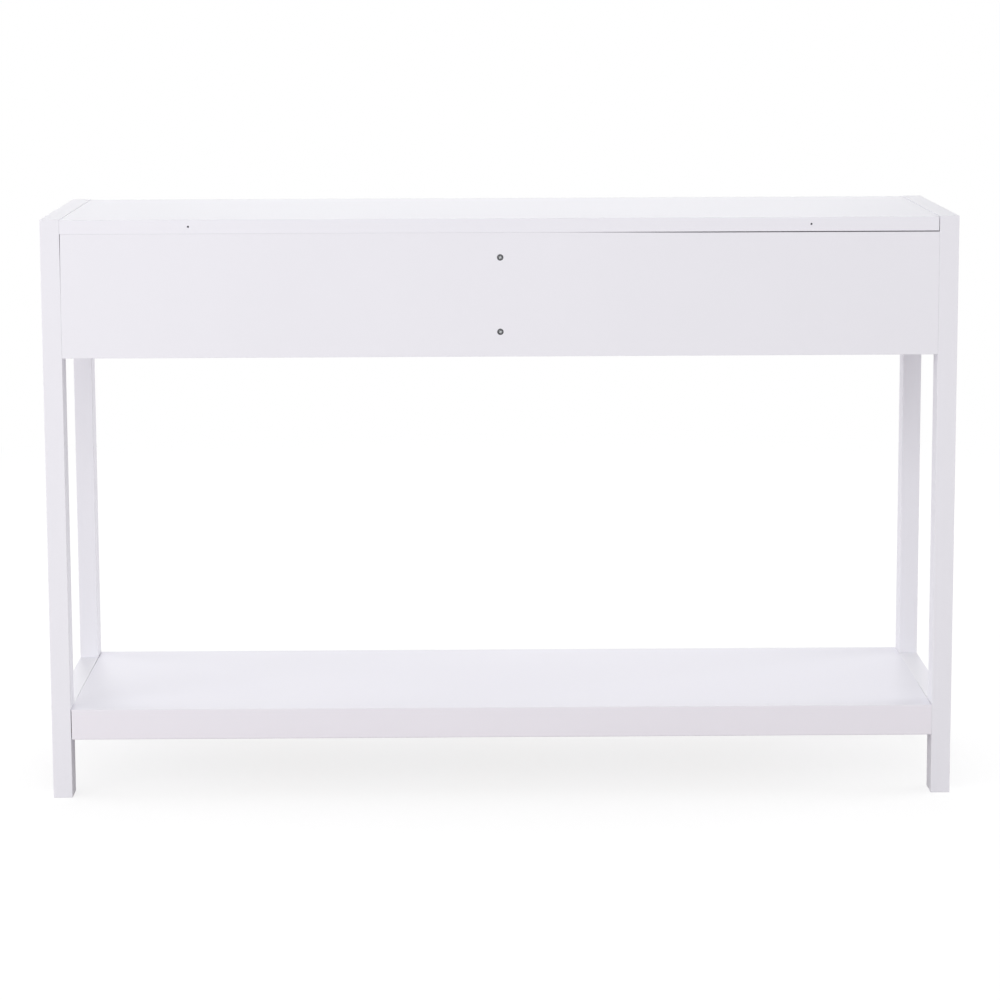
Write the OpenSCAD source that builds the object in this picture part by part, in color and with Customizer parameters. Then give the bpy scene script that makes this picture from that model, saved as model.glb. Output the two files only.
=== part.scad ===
// Console table: two end frames, a top, a rear apron, a low shelf and two inset drawers.
// Millimetres. The drawers face -Y, the apron faces +Y, and the feet stand on Z = 0.

/* [Table] */
// Width over the end frames
table_w = 1180; // [1000:5:1400]
// Depth of the frame, without the knobs
table_d = 380; // [370:5:450]
// Height of the posts
table_h = 760; // [700:5:850]

/* [End frames] */
// Thickness of the posts, end panels and lower rails
end_t = 25; // [22:1:32]
// Width of a post, front to rear
post_w = 40; // [36:1:50]
// Height of a lower rail
rail_h = 40; // [34:1:60]

/* [Boards] */
// Thickness of the top panel
top_t = 18; // [16:1:22]
// Step from the post tops down to the top panel
top_drop = 1; // [0:0.5:3]
// Thickness of the rear apron
apron_t = 18; // [16:1:22]
// Height of the rear apron
apron_h = 160; // [155:1:200]
// Thickness of the centre divider
divider_t = 18; // [18:1:25]
// Thickness of the front rail
front_rail_t = 18; // [16:1:22]
// Depth of the front rail
front_rail_w = 60; // [50:1:100]

/* [Shelf] */
// Height of the shelf's top above the floor
shelf_z = 118; // [90:1:300]
// Thickness of the shelf board
shelf_t = 18; // [16:1:20]
// Height of the shelf's front and rear lips
lip_h = 40; // [36:1:60]
// Battens under the shelf
batten_n = 3; // [1:1:3]
// Distance between the battens
batten_step = 280; // [150:5:350]
// Width of a batten
batten_w = 40; // [30:1:60]
// Height of a batten
batten_h = 16; // [12:1:18]

/* [Drawers] */
// Gap round a drawer front
front_gap = 2; // [1.5:0.5:4]
// Thickness of a drawer front
front_t = 18; // [16:1:22]
// Gap between the back of a drawer box and the apron
box_gap = 34; // [20:1:60]
// Height of a drawer's sides and back
box_h = 100; // [90:1:110]
// Height of a drawer box above the front rail
box_lift = 20; // [8:1:25]
// Thickness of a drawer's sides
side_t = 12; // [12:1:15]
// Thickness of a drawer's back
back_t = 12; // [12:1:18]
// Thickness of a drawer's bottom
bottom_t = 3; // [3:0.5:5]
// Height of the bottom above the lower edges of the sides
bottom_up = 8; // [6:1:12]
// Depth of the grooves that hold the bottom
groove_d = 6; // [4:0.5:7]

/* [Knobs] */
// Diameter of a knob
knob_d = 30; // [24:1:40]
// How far a knob stands out from its drawer front
knob_out = 24; // [20:1:35]
// Diameter of a knob's foot
knob_foot_d = 18; // [16:1:22]
// Diameter of a knob's neck
knob_neck_d = 13; // [10:1:15]
// Diameter of the knob screw
knob_screw_d = 4; // [3:0.5:5]
// How far the knob screw enters the knob
knob_screw_in = 10; // [8:1:14]

/* [Slides] */
// Distance from the rear end of a slide to the back of the drawer box
slide_end = 8; // [0:1:30]
// Height of a slide
slide_h = 35; // [33:1:38]
// Room that a slide takes between wall and drawer
slide_w = 12.7; // [12.7:0.1:13.5]
// Thickness of the slides' steel
slide_t = 1.2; // [1:0.1:1.4]
// Height of a slide's centre above the lower edge of the drawer box
slide_up = 50; // [40:1:60]
// Distance from the back of the drawer front to a slide
slide_set = 2; // [1:0.5:4]
// How much shorter the middle rail is than the slide
middle_less = 10; // [5:1:20]
// Diameter of the bearing balls
ball_d = 2.4; // [2:0.1:2.6]
// Balls in a row
ball_n = 5; // [3:1:6]
// Distance between balls in a row
ball_step = 26; // [20:1:28]
// Thickness of a ball strip
strip_t = 0.5; // [0.4:0.1:0.6]
// Length of a drawer rail that stays in its slide when the drawer is open
stay_in = 20; // [20:5:100]

/* [Fixings] */
// Diameter of a frame dowel
dowel_d = 8; // [6:1:8]
// Length of a frame dowel
dowel_l = 30; // [26:1:35]
// How far a cross dowel enters an end frame
dowel_bite = 11; // [8:1:14]
// How far the divider's dowels enter the top and the front rail
divider_bite = 9; // [8:1:11]
// Diameter of a cam lock
cam_d = 15; // [14:0.5:15]
// Height of a cam lock in the frame
cam_h = 12.5; // [12:0.5:13]
// Distance from a board's end to its cam lock
cam_in = 34; // [24:1:40]
// Diameter of a cam bolt's thread
bolt_d = 5; // [5:0.5:6]
// Diameter of a cam bolt's shank and head
bolt_shank_d = 6; // [6:0.5:7]
// How far a cam bolt enters the piece that it holds
bolt_bite = 10; // [8:1:12]
// Distance from the front or rear to a dowel in the top or shelf
dowel_edge = 60; // [58:1:70]
// Distance from the front or rear to a cam lock in the top or shelf
cam_edge = 100; // [90:1:130]
// Distance from the apron's upper and lower edges to its dowels
apron_dowel_edge = 20; // [16:1:20]
// Distance from the apron's upper and lower edges to its cam locks
apron_cam_edge = 56; // [50:1:60]
// Distance from the apron's upper and lower edges to the divider screws
divider_screw_edge = 32; // [30:1:40]
// Length of a divider screw
divider_screw_l = 50; // [40:1:60]
// Diameter of a divider screw
divider_screw_d = 4; // [3.5:0.5:5]
// Diameter of a divider screw's head
divider_head_d = 8.5; // [8:0.5:10]
// Diameter of a slide screw
slide_screw_d = 3.5; // [3:0.5:4]
// Length of a slide screw
slide_screw_l = 9; // [7:1:9]
// Height of a slide screw's head
slide_head_h = 1.4; // [1:0.1:1.5]
// Diameter of a drawer dowel
box_dowel_d = 6; // [5:1:6]
// Length of a drawer dowel
box_dowel_l = 25; // [20:1:28]
// How far a drawer dowel enters the front or a side
box_dowel_bite = 8; // [7:1:9]
// Height of a cam lock in a drawer side
box_cam_h = 9.5; // [9:0.5:10]
// Distance from the drawer front to a cam lock
box_cam_in = 24; // [20:1:34]

/* [Wall anchors] */
// Distance between the two anchor holes
anchor_step = 800; // [600:10:900]
// Diameter of an anchor hole
anchor_d = 3; // [2:0.5:4]
// Depth of an anchor hole
anchor_deep = 25; // [15:1:40]
// Height of the anchor holes' centres below the top
anchor_down = 9; // [7:0.5:9]

/* [Clearances] */
// Radial play round a dowel
dowel_play = 0.1; // [0.05:0.05:0.2]
// Spare depth at each end of a dowel hole
dowel_spare = 0.5; // [0.2:0.1:1]
// Radial play round cam locks, bolts and screws
fix_play = 0.1; // [0.05:0.05:0.2]
// Play between a ball and its race
ball_play = 0.2; // [0.1:0.05:0.3]
// Play between the sheets of a slide
slide_play = 0.4; // [0.3:0.1:0.5]
// Play of a drawer's bottom in its grooves
bottom_play = 0.1; // [0.05:0.05:0.3]

/* [Hidden] */
$fn = 40;
left = -1;
right = 1;
cut = 1;            // how far a cutting shape runs past a face

lacquer = [0.93, 0.925, 0.95];
foil = [0.95, 0.95, 0.94];
hardboard = [0.88, 0.86, 0.83];
zinc = [0.72, 0.73, 0.75];
nickel = [0.66, 0.65, 0.63];
beech = [0.8, 0.66, 0.46];
pine = [0.85, 0.74, 0.55];

// The frame's main planes. The knobs count in the depth that is centred on Y = 0.
x_out = table_w / 2;
x_in = x_out - end_t;
y_rear = (table_d + knob_out) / 2;
y_front = y_rear - table_d;
y_panel_front = y_front + post_w;
y_panel_rear = y_rear - post_w;
z_top = table_h - top_drop;
z_under = z_top - top_t;
z_apron = z_under - apron_h;
z_rail = z_apron + front_rail_t;
box_d = table_d - front_t - apron_t - box_gap;
slide_l = box_d - slide_set - slide_end;
travel = slide_l - stay_in;

// Middle planes of the boards, where their dowels and cam bolts run
z_top_mid = z_top - top_t / 2;
z_shelf_mid = shelf_z - shelf_t / 2;
z_rail_mid = z_apron + front_rail_t / 2;
y_apron_mid = y_rear - apron_t / 2;
z_lip_mid = shelf_z - (shelf_t + lip_h) / 2;

// Points [y, z] of the dowels and cam bolts that enter the end frames
top_dowels = [for (y = [y_front + dowel_edge, y_rear - dowel_edge]) [y, z_top_mid]];
top_cams = [for (y = [y_front + cam_edge, y_rear - cam_edge]) [y, z_top_mid]];
shelf_dowels = [for (y = [y_front + dowel_edge, y_rear - dowel_edge]) [y, z_shelf_mid]];
shelf_cams = [for (y = [y_front + cam_edge, y_rear - cam_edge]) [y, z_shelf_mid]];
front_lip_dowels = [[y_front + shelf_t / 2, z_lip_mid]];
rear_lip_dowels = [[y_rear - shelf_t / 2, z_lip_mid]];
apron_dowels = [for (z = [z_apron + apron_dowel_edge, z_under - apron_dowel_edge]) [y_apron_mid, z]];
apron_cams = [for (z = [z_apron + apron_cam_edge, z_under - apron_cam_edge]) [y_apron_mid, z]];
rail_dowel_in = 10;
rail_cam_in = 28;
rail_dowels = [[y_front + rail_dowel_in, z_rail_mid]];
rail_cams = [[y_front + rail_cam_in, z_rail_mid]];
front_post_dowels = concat(front_lip_dowels, rail_dowels);
rear_post_dowels = concat(rear_lip_dowels, apron_dowels);

// Heights of the dowels inside an end frame
panel_dowel_edge = 36;
lower_dowel_edge = 11;
panel_dowel_z = [z_apron + panel_dowel_edge, table_h - panel_dowel_edge];
lower_dowel_z = [shelf_z - rail_h + lower_dowel_edge, shelf_z - lower_dowel_edge];
end_mid = x_out - end_t / 2;

// The drawer bays and boxes, in a frame centred on the bay
bay_w = x_in - divider_t / 2;
bay_x = (x_in + divider_t / 2) / 2;
box_w = bay_w - 2 * slide_w;
y_box = y_front + front_t;
z_box = z_rail + box_lift;
front_z0 = z_rail + front_gap;
front_z1 = z_under - front_gap;
front_half_w = bay_w / 2 - front_gap;
z_knob = (front_z0 + front_z1) / 2;
box_dowel_edge = 20;
box_dowel_z = [z_box + box_dowel_edge, z_box + box_h - box_dowel_edge];
z_box_cam = z_box + box_h / 2;
back_mid = y_box + box_d - back_t / 2;

// A slide's section: u runs from the wall to the drawer, v up and down from the centre
y_slide = y_box + slide_set;
z_slide = z_box + slide_up;
race = ball_d + 2 * ball_play;
v_outer = slide_h / 2;
v_middle = v_outer - slide_t - race;
v_inner = v_middle - slide_t - race;
v_outer_ball = v_middle + race / 2;
v_inner_ball = v_inner + race / 2;
u_outer_strip = slide_t + slide_head_h + slide_play;
u_middle = u_outer_strip + strip_t + slide_play;
u_inner_strip = u_middle + slide_t + slide_play;
u_inner = u_inner_strip + strip_t + slide_play;
u_flange = slide_w - slide_t - slide_play;
u_outer_ball = (u_middle + u_flange) / 2;
u_inner_ball = (u_inner + u_flange) / 2;
strip_l = (ball_n - 1) * ball_step + 2 * ball_d;
y_strip = travel / 4 + middle_less;
cabinet_screw_y = [60, slide_l - 60];
drawer_screw_y = [90, slide_l - 40];
slide_head_d = 7;

// ---- Shapes that repeat ----

// A box between two corners
module block(low, high) {
    translate(low) cube(high - low);
}

// A round bar from p, running l along the axis "x", "y" or "z"
module bar(p, axis, d, l) {
    translate(p)
        rotate(axis == "x" ? [0, 90, 0] : axis == "y" ? [-90, 0, 0] : [0, 0, 0])
            cylinder(d = d, h = l);
}

// The same thing at the right and left ends of the table
module both_ends() {
    children();
    mirror([1, 0, 0]) children();
}

// A piece of the right end moved to the end that is asked for
module at_end(side) {
    mirror([side == left ? 1 : 0, 0, 0]) children();
}

// A bay's own frame
module in_bay(side) {
    translate([side * bay_x, 0, 0]) children();
}

// One hand of a bay; its shapes are drawn for the left hand
module in_hand(side, hand) {
    in_bay(side) mirror([hand == right ? 1 : 0, 0, 0]) children();
}

// Dowels that run across into the end frames
module cross_dowels(points, play = 0, spare = 0) {
    both_ends() for (p = points)
        bar([x_in + dowel_bite - dowel_l - spare, p[0], p[1]], "x", dowel_d + 2 * play, dowel_l + 2 * spare);
}

// Dowels between posts and the pieces of the end frame, at the heights given
module end_dowels(heights, play = 0, spare = 0) {
    both_ends() for (y = [y_panel_front, y_panel_rear]) for (z = heights)
        bar([end_mid, y - dowel_l / 2 - spare, z], "y", dowel_d + 2 * play, dowel_l + 2 * spare);
}

// Dowels that stand between the divider and the top or the front rail
module divider_dowels(play = 0, spare = 0) {
    for (y = [y_front + dowel_edge, y_rear - cam_edge])
        bar([0, y, z_under + divider_bite - dowel_l - spare], "z", dowel_d + 2 * play, dowel_l + 2 * spare);
    bar([0, y_front + rail_cam_in, z_rail - divider_bite - spare], "z", dowel_d + 2 * play, dowel_l + 2 * spare);
}

// A cam bolt: it enters the held piece along +X from the joint at X = 0
module cam_bolt(inset) {
    bar([0, 0, 0], "x", bolt_d, bolt_bite);
    bar([-inset - bolt_shank_d / 2, 0, 0], "x", bolt_shank_d, inset + bolt_shank_d / 2);
}

// The hole for a cam bolt, on both sides of the joint
module cam_bolt_hole(inset) {
    bar([0, 0, 0], "x", bolt_d + 2 * fix_play, bolt_bite + dowel_spare);
    bar([-inset, 0, 0], "x", bolt_shank_d + 2 * fix_play, inset);
}

// A cam lock of height h in a board of thickness t, with its slotted face up
module cam_lock(inset, t, h) {
    slot_w = 1.6;
    slot_d = 3;
    difference() {
        bar([-inset, 0, t / 2 - h], "z", cam_d, h);
        bar([-inset - bolt_shank_d, 0, 0], "x", bolt_shank_d + 2 * fix_play, inset + bolt_shank_d);
        for (a = [0, 90])
            translate([-inset, 0, t / 2]) rotate(a)
                block([-cam_d / 3, -slot_w / 2, -slot_d], [cam_d / 3, slot_w / 2, cut]);
    }
}

// The pocket for a cam lock
module cam_pocket(inset, t, h) {
    bar([-inset, 0, t / 2 - h - fix_play], "z", cam_d + 2 * fix_play, h + cut);
}

// Children at the joints of both ends, for boards whose locks face down
module at_joints(points) {
    both_ends() for (p = points) translate([x_in, p[0], p[1]]) rotate([180, 0, 0]) children();
}

// Children at the apron's joints, whose locks face the drawers
module at_apron_joints() {
    both_ends() for (p = apron_cams) translate([x_in, p[0], p[1]]) rotate([90, 0, 0]) children();
}

// A screw with a low round head, entering along -X from the sheet's face at X = 0
module slide_screw() {
    tip_l = slide_screw_d / 2;
    bar([0, 0, 0], "x", slide_head_d, slide_head_h);
    bar([-slide_screw_l + tip_l, 0, 0], "x", slide_screw_d, slide_screw_l - tip_l);
    translate([-slide_screw_l, 0, 0]) rotate([0, 90, 0]) cylinder(d1 = 0.4, d2 = slide_screw_d, h = tip_l);
}

// The hole for a slide screw
module slide_screw_hole() {
    bar([-slide_screw_l - fix_play, 0, 0], "x", slide_screw_d + 2 * fix_play, slide_screw_l + cut);
}

// Children at the slide's origin on the wall, on one hand of a bay
module at_slide(side, hand) {
    in_hand(side, hand) translate([-bay_w / 2, y_slide, z_slide]) children();
}

// Where the screws of one cabinet rail go
module at_cabinet_screws(side, hand) {
    at_slide(side, hand) for (y = cabinet_screw_y) translate([slide_t, y, 0]) children();
}

// Where the screws of one drawer rail go
module at_drawer_screws(side, hand) {
    at_slide(side, hand) for (y = drawer_screw_y)
        translate([slide_w - slide_t, y, 0]) mirror([1, 0, 0]) children();
}

// A folded channel of length l, open towards +X
module channel(u0, u1, v, l) {
    difference() {
        block([u0, 0, -v], [u1, l, v]);
        block([u0 + slide_t, -cut, slide_t - v], [u1 + cut, l + cut, v - slide_t]);
    }
}

// A strip that holds two rows of balls
module ball_strip(u, u_ball, v_ball) {
    edge = 0.4;
    block([u, 0, -v_ball], [u + strip_t, strip_l, v_ball]);
    for (v = [-v_ball, v_ball]) {
        block([u, 0, v - edge], [u_ball + ball_d / 2 - edge, strip_l, v + edge]);
        for (i = [0 : ball_n - 1])
            translate([u_ball, ball_d + i * ball_step, v]) sphere(d = ball_d, $fn = 24);
    }
}

// ---- End frames ----

module post(side, y0, cross, with_rail_cams) {
    color(lacquer) difference() {
        at_end(side) block([x_in, y0, 0], [x_out, y0 + post_w, table_h]);
        end_dowels(concat(panel_dowel_z, lower_dowel_z), dowel_play, dowel_spare);
        cross_dowels(cross, dowel_play, dowel_spare);
        if (with_rail_cams)
            at_joints(rail_cams) cam_bolt_hole(cam_in);
        else
            at_apron_joints() cam_bolt_hole(cam_in);
    }
}

module front_post(side) {
    post(side, y_front, front_post_dowels, true);
}

module rear_post(side) {
    post(side, y_panel_rear, rear_post_dowels, false);
}

module end_panel(side) {
    color(lacquer) difference() {
        at_end(side) block([x_in, y_panel_front, z_apron], [x_out, y_panel_rear, table_h]);
        end_dowels(panel_dowel_z, dowel_play, dowel_spare);
        cross_dowels(top_dowels, dowel_play, dowel_spare);
        at_joints(top_cams) cam_bolt_hole(cam_in);
        at_cabinet_screws(side, side) slide_screw_hole();
    }
}

module lower_rail(side) {
    color(lacquer) difference() {
        at_end(side) block([x_in, y_panel_front, shelf_z - rail_h], [x_out, y_panel_rear, shelf_z]);
        end_dowels(lower_dowel_z, dowel_play, dowel_spare);
        cross_dowels(shelf_dowels, dowel_play, dowel_spare);
        at_joints(shelf_cams) cam_bolt_hole(cam_in);
    }
}

// ---- Boards ----

module top_panel() {
    color(lacquer) difference() {
        block([-x_in, y_front, z_under], [x_in, y_rear, z_top]);
        cross_dowels(top_dowels, dowel_play, dowel_spare);
        divider_dowels(dowel_play, dowel_spare);
        at_joints(top_cams) {
            cam_bolt_hole(cam_in);
            cam_pocket(cam_in, top_t, cam_h);
        }
        for (x = [-anchor_step / 2, anchor_step / 2])
            bar([x, y_rear - anchor_deep, z_top - anchor_down], "y", anchor_d, anchor_deep + cut);
    }
}

// The divider screws' places, in a frame whose +Z points out of the apron
module at_divider_screws() {
    for (z = [z_apron + divider_screw_edge, z_under - divider_screw_edge])
        translate([0, y_rear, z]) rotate([-90, 0, 0]) children();
}

module divider_screw_hole() {
    hole_l = divider_screw_l + fix_play;
    head_r = divider_head_d / 2;
    shank_r = divider_screw_d / 2;
    translate([0, 0, -hole_l]) cylinder(r = shank_r + fix_play, h = hole_l + cut);
    translate([0, 0, shank_r - head_r]) cylinder(r1 = shank_r + fix_play, r2 = head_r + fix_play, h = head_r - shank_r);
}

module rear_apron() {
    color(lacquer) difference() {
        block([-x_in, y_rear - apron_t, z_apron], [x_in, y_rear, z_under]);
        cross_dowels(apron_dowels, dowel_play, dowel_spare);
        at_apron_joints() {
            cam_bolt_hole(cam_in);
            cam_pocket(cam_in, apron_t, cam_h);
        }
        at_divider_screws() divider_screw_hole();
    }
}

module centre_divider() {
    color(lacquer) difference() {
        block([-divider_t / 2, y_front, z_rail], [divider_t / 2, y_rear - apron_t, z_under]);
        divider_dowels(dowel_play, dowel_spare);
        at_divider_screws() divider_screw_hole();
        at_cabinet_screws(left, right) slide_screw_hole();
        at_cabinet_screws(right, left) slide_screw_hole();
    }
}

module front_rail() {
    color(lacquer) difference() {
        block([-x_in, y_front, z_apron], [x_in, y_front + front_rail_w, z_rail]);
        cross_dowels(rail_dowels, dowel_play, dowel_spare);
        divider_dowels(dowel_play, dowel_spare);
        at_joints(rail_cams) {
            cam_bolt_hole(cam_in);
            cam_pocket(cam_in, front_rail_t, cam_h);
        }
    }
}

// ---- Shelf ----

// A section in Y and Z, drawn out along X from end frame to end frame
module along_shelf(points) {
    translate([-x_in, 0, 0]) rotate([90, 0, 90]) linear_extrude(2 * x_in) polygon(points);
}

module shelf_board() {
    z_low = shelf_z - shelf_t;
    color(lacquer) difference() {
        along_shelf([
            [y_front, shelf_z], [y_front + shelf_t, z_low], [y_rear - shelf_t, z_low], [y_rear, shelf_z]
        ]);
        cross_dowels(shelf_dowels, dowel_play, dowel_spare);
        at_joints(shelf_cams) {
            cam_bolt_hole(cam_in);
            cam_pocket(cam_in, shelf_t, cam_h);
        }
    }
}

// A lip under the shelf's edge at y, mitred to the board; inward is the way into the table
module shelf_lip(y, inward, dowels) {
    z_low = shelf_z - lip_h;
    y_in = y + inward * shelf_t;
    color(lacquer) difference() {
        along_shelf([[y, shelf_z], [y, z_low], [y_in, z_low], [y_in, shelf_z - shelf_t]]);
        cross_dowels(dowels, dowel_play, dowel_spare);
    }
}

module shelf_front_lip() {
    shelf_lip(y_front, 1, front_lip_dowels);
}

module shelf_rear_lip() {
    shelf_lip(y_rear, -1, rear_lip_dowels);
}

module shelf_battens() {
    z_high = shelf_z - shelf_t;
    color(pine) for (i = [0 : batten_n - 1]) {
        x = (i - (batten_n - 1) / 2) * batten_step;
        block([x - batten_w / 2, y_front + shelf_t, z_high - batten_h], [x + batten_w / 2, y_rear - shelf_t, z_high]);
    }
}

// ---- Fixings of the frame ----

module frame_dowels() {
    color(beech) {
        end_dowels(concat(panel_dowel_z, lower_dowel_z));
        cross_dowels(concat(top_dowels, shelf_dowels, front_post_dowels, rear_post_dowels));
        divider_dowels();
    }
}

module frame_cam_bolts() {
    color(zinc) {
        at_joints(concat(top_cams, shelf_cams, rail_cams)) cam_bolt(cam_in);
        at_apron_joints() cam_bolt(cam_in);
    }
}

module frame_cam_locks() {
    color(zinc) {
        at_joints(top_cams) cam_lock(cam_in, top_t, cam_h);
        at_joints(shelf_cams) cam_lock(cam_in, shelf_t, cam_h);
        at_joints(rail_cams) cam_lock(cam_in, front_rail_t, cam_h);
        at_apron_joints() cam_lock(cam_in, apron_t, cam_h);
    }
}

module divider_screws() {
    head_r = divider_head_d / 2;
    shank_r = divider_screw_d / 2;
    tip_l = 2 * divider_screw_d;
    recess_l = 5;
    recess_w = 1.1;
    recess_d = 1.8;
    color(zinc) at_divider_screws() difference() {
        union() {
            translate([0, 0, shank_r - head_r]) cylinder(r1 = shank_r, r2 = head_r, h = head_r - shank_r);
            translate([0, 0, tip_l - divider_screw_l]) cylinder(r = shank_r, h = divider_screw_l - tip_l);
            translate([0, 0, -divider_screw_l]) cylinder(r1 = 0.2, r2 = shank_r, h = tip_l);
        }
        for (a = [45, 135])
            rotate(a) block([-recess_l / 2, -recess_w / 2, -recess_d], [recess_l / 2, recess_w / 2, cut]);
    }
}

// ---- Slides ----

module cabinet_rail(side, hand) {
    color(zinc) difference() {
        at_slide(side, hand) channel(0, u_flange, v_outer, slide_l);
        at_cabinet_screws(side, hand) slide_screw_hole();
    }
}

module middle_rail(side, hand) {
    color(zinc) at_slide(side, hand) channel(u_middle, u_flange, v_middle, slide_l - middle_less);
}

module drawer_rail(side, hand) {
    color(zinc) difference() {
        at_slide(side, hand) translate([slide_w, 0, 0]) mirror([1, 0, 0])
            channel(0, slide_w - u_inner, v_inner, slide_l);
        at_drawer_screws(side, hand) slide_screw_hole();
    }
}

module outer_ball_strips(side) {
    color(zinc) for (hand = [left, right])
        at_slide(side, hand) translate([0, y_strip, 0])
            ball_strip(u_outer_strip, u_outer_ball, v_outer_ball);
}

module inner_ball_strips(side) {
    color(zinc) for (hand = [left, right])
        at_slide(side, hand) translate([0, y_strip, 0])
            ball_strip(u_inner_strip, u_inner_ball, v_inner_ball);
}

module cabinet_rail_screws() {
    color(zinc) for (side = [left, right]) for (hand = [left, right])
        at_cabinet_screws(side, hand) slide_screw();
}

module drawer_rail_screws(side) {
    color(zinc) for (hand = [left, right])
        at_drawer_screws(side, hand) slide_screw();
}

// ---- Drawers ----

// The bottom with its grooves' play, or as it is
module bottom_shape(play) {
    x = box_w / 2 - side_t + groove_d;
    z = z_box + bottom_up;
    block([-x - play, y_box - groove_d - play, z - play],
          [x + play, y_box + box_d - back_t + groove_d + play, z + bottom_t + play]);
}

// Dowels along Y that join the sides to the front, and along X that join them to the back
module box_dowels(play = 0, spare = 0) {
    mid = box_w / 2 - side_t / 2;
    both_ends() for (z = box_dowel_z) {
        bar([mid, y_box - box_dowel_bite - spare, z], "y", box_dowel_d + 2 * play, box_dowel_l + 2 * spare);
        bar([box_w / 2 - side_t + box_dowel_bite - box_dowel_l - spare, back_mid, z],
            "x", box_dowel_d + 2 * play, box_dowel_l + 2 * spare);
    }
}

// Children at the cam joints between the sides and the front, locks facing into the drawer
module at_box_cams() {
    both_ends() translate([side_t / 2 - box_w / 2, y_box, z_box_cam]) rotate([-90, 0, -90]) children();
}

module drawer_front(side) {
    color(lacquer) in_bay(side) difference() {
        block([-front_half_w, y_front, front_z0], [front_half_w, y_box, front_z1]);
        bottom_shape(bottom_play);
        box_dowels(dowel_play, dowel_spare);
        at_box_cams() cam_bolt_hole(box_cam_in);
        bar([0, y_front - cut, z_knob], "y", knob_screw_d + 2 * fix_play, front_t + 2 * cut);
    }
}

module drawer_side(side, hand) {
    color(foil) difference() {
        in_hand(side, hand) block([-box_w / 2, y_box, z_box], [side_t - box_w / 2, y_box + box_d, z_box + box_h]);
        in_bay(side) {
            bottom_shape(bottom_play);
            box_dowels(dowel_play, dowel_spare);
            at_box_cams() {
                cam_bolt_hole(box_cam_in);
                cam_pocket(box_cam_in, side_t, box_cam_h);
            }
        }
        at_drawer_screws(side, hand) slide_screw_hole();
    }
}

module drawer_back(side) {
    x = box_w / 2 - side_t;
    color(foil) in_bay(side) difference() {
        block([-x, y_box + box_d - back_t, z_box], [x, y_box + box_d, z_box + box_h]);
        bottom_shape(bottom_play);
        box_dowels(dowel_play, dowel_spare);
    }
}

module drawer_bottom(side) {
    color(hardboard) in_bay(side) bottom_shape(0);
}

module drawer_dowels(side) {
    color(beech) in_bay(side) box_dowels();
}

module drawer_cam_bolts(side) {
    color(zinc) in_bay(side) at_box_cams() cam_bolt(box_cam_in);
}

module drawer_cam_locks(side) {
    color(zinc) in_bay(side) at_box_cams() cam_lock(box_cam_in, side_t, box_cam_h);
}

// ---- Knobs ----

// Half outline of a knob from its foot at 0 out to its face, as [radius, distance]
function knob_outline() = let (
    foot_h = 3,
    r = knob_d / 2,
    neck_r = knob_neck_d / 2,
    cap_h = (knob_out - foot_h) / 3,
    rim = knob_out - cap_h,
    neck_z = (foot_h + rim) / 2
) concat(
    [[0, 0], [knob_foot_d / 2, 0], [knob_foot_d / 2, foot_h], [neck_r, neck_z - 1], [neck_r, neck_z + 1]],
    [for (a = [0 : 15 : 90]) [r - (1 - sin(a)) * (r - neck_r) / 3, rim + (sin(a) - 1) * cap_h / 2]],
    [for (a = [15 : 15 : 90]) [r * cos(a), rim + cap_h * sin(a)]]
);

module drawer_knob(side) {
    color(nickel) in_bay(side) translate([0, y_front, z_knob]) rotate([90, 0, 0]) difference() {
        rotate_extrude() polygon(knob_outline());
        translate([0, 0, -cut]) cylinder(d = knob_screw_d + 2 * fix_play, h = knob_screw_in + cut + fix_play);
    }
}

module drawer_knob_screw(side) {
    head_d = 2 * knob_screw_d;
    head_h = 0.6 * knob_screw_d;
    slot = [head_d * 0.6, 1, 1.4];
    color(zinc) in_bay(side) translate([0, y_box, z_knob]) rotate([-90, 0, 0]) difference() {
        union() {
            translate([0, 0, -front_t - knob_screw_in]) cylinder(d = knob_screw_d, h = front_t + knob_screw_in);
            cylinder(d1 = head_d, d2 = head_d * 0.8, h = head_h);
        }
        for (a = [0, 90])
            rotate(a) translate([0, 0, head_h]) cube([slot[0], slot[1], 2 * slot[2]], center = true);
    }
}

front_post(left);  // front_left_post
front_post(right);  // front_right_post
rear_post(left);  // rear_left_post
rear_post(right);  // rear_right_post
end_panel(left);  // left_end_panel
end_panel(right);  // right_end_panel
lower_rail(left);  // left_lower_rail
lower_rail(right);  // right_lower_rail
top_panel();
rear_apron();
centre_divider();
front_rail();
shelf_board();
shelf_front_lip();
shelf_rear_lip();
shelf_battens();
frame_dowels();
frame_cam_bolts();
frame_cam_locks();
divider_screws();
cabinet_rail_screws();
cabinet_rail(left, left);  // left_bay_left_cabinet_rail
cabinet_rail(left, right);  // left_bay_right_cabinet_rail
cabinet_rail(right, left);  // right_bay_left_cabinet_rail
cabinet_rail(right, right);  // right_bay_right_cabinet_rail

drawer_front(left);  // left_drawer_front
drawer_side(left, left);  // left_drawer_left_side
drawer_side(left, right);  // left_drawer_right_side
drawer_back(left);  // left_drawer_back
drawer_bottom(left);  // left_drawer_bottom
drawer_knob(left);  // left_drawer_knob
drawer_knob_screw(left);  // left_drawer_knob_screw
drawer_dowels(left);  // left_drawer_dowels
drawer_cam_bolts(left);  // left_drawer_cam_bolts
drawer_cam_locks(left);  // left_drawer_cam_locks
drawer_rail_screws(left);  // left_drawer_rail_screws
drawer_rail(left, left);  // left_drawer_left_rail
drawer_rail(left, right);  // left_drawer_right_rail
middle_rail(left, left);  // left_bay_left_middle_rail
middle_rail(left, right);  // left_bay_right_middle_rail
outer_ball_strips(left);  // left_bay_outer_ball_strips
inner_ball_strips(left);  // left_bay_inner_ball_strips

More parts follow.
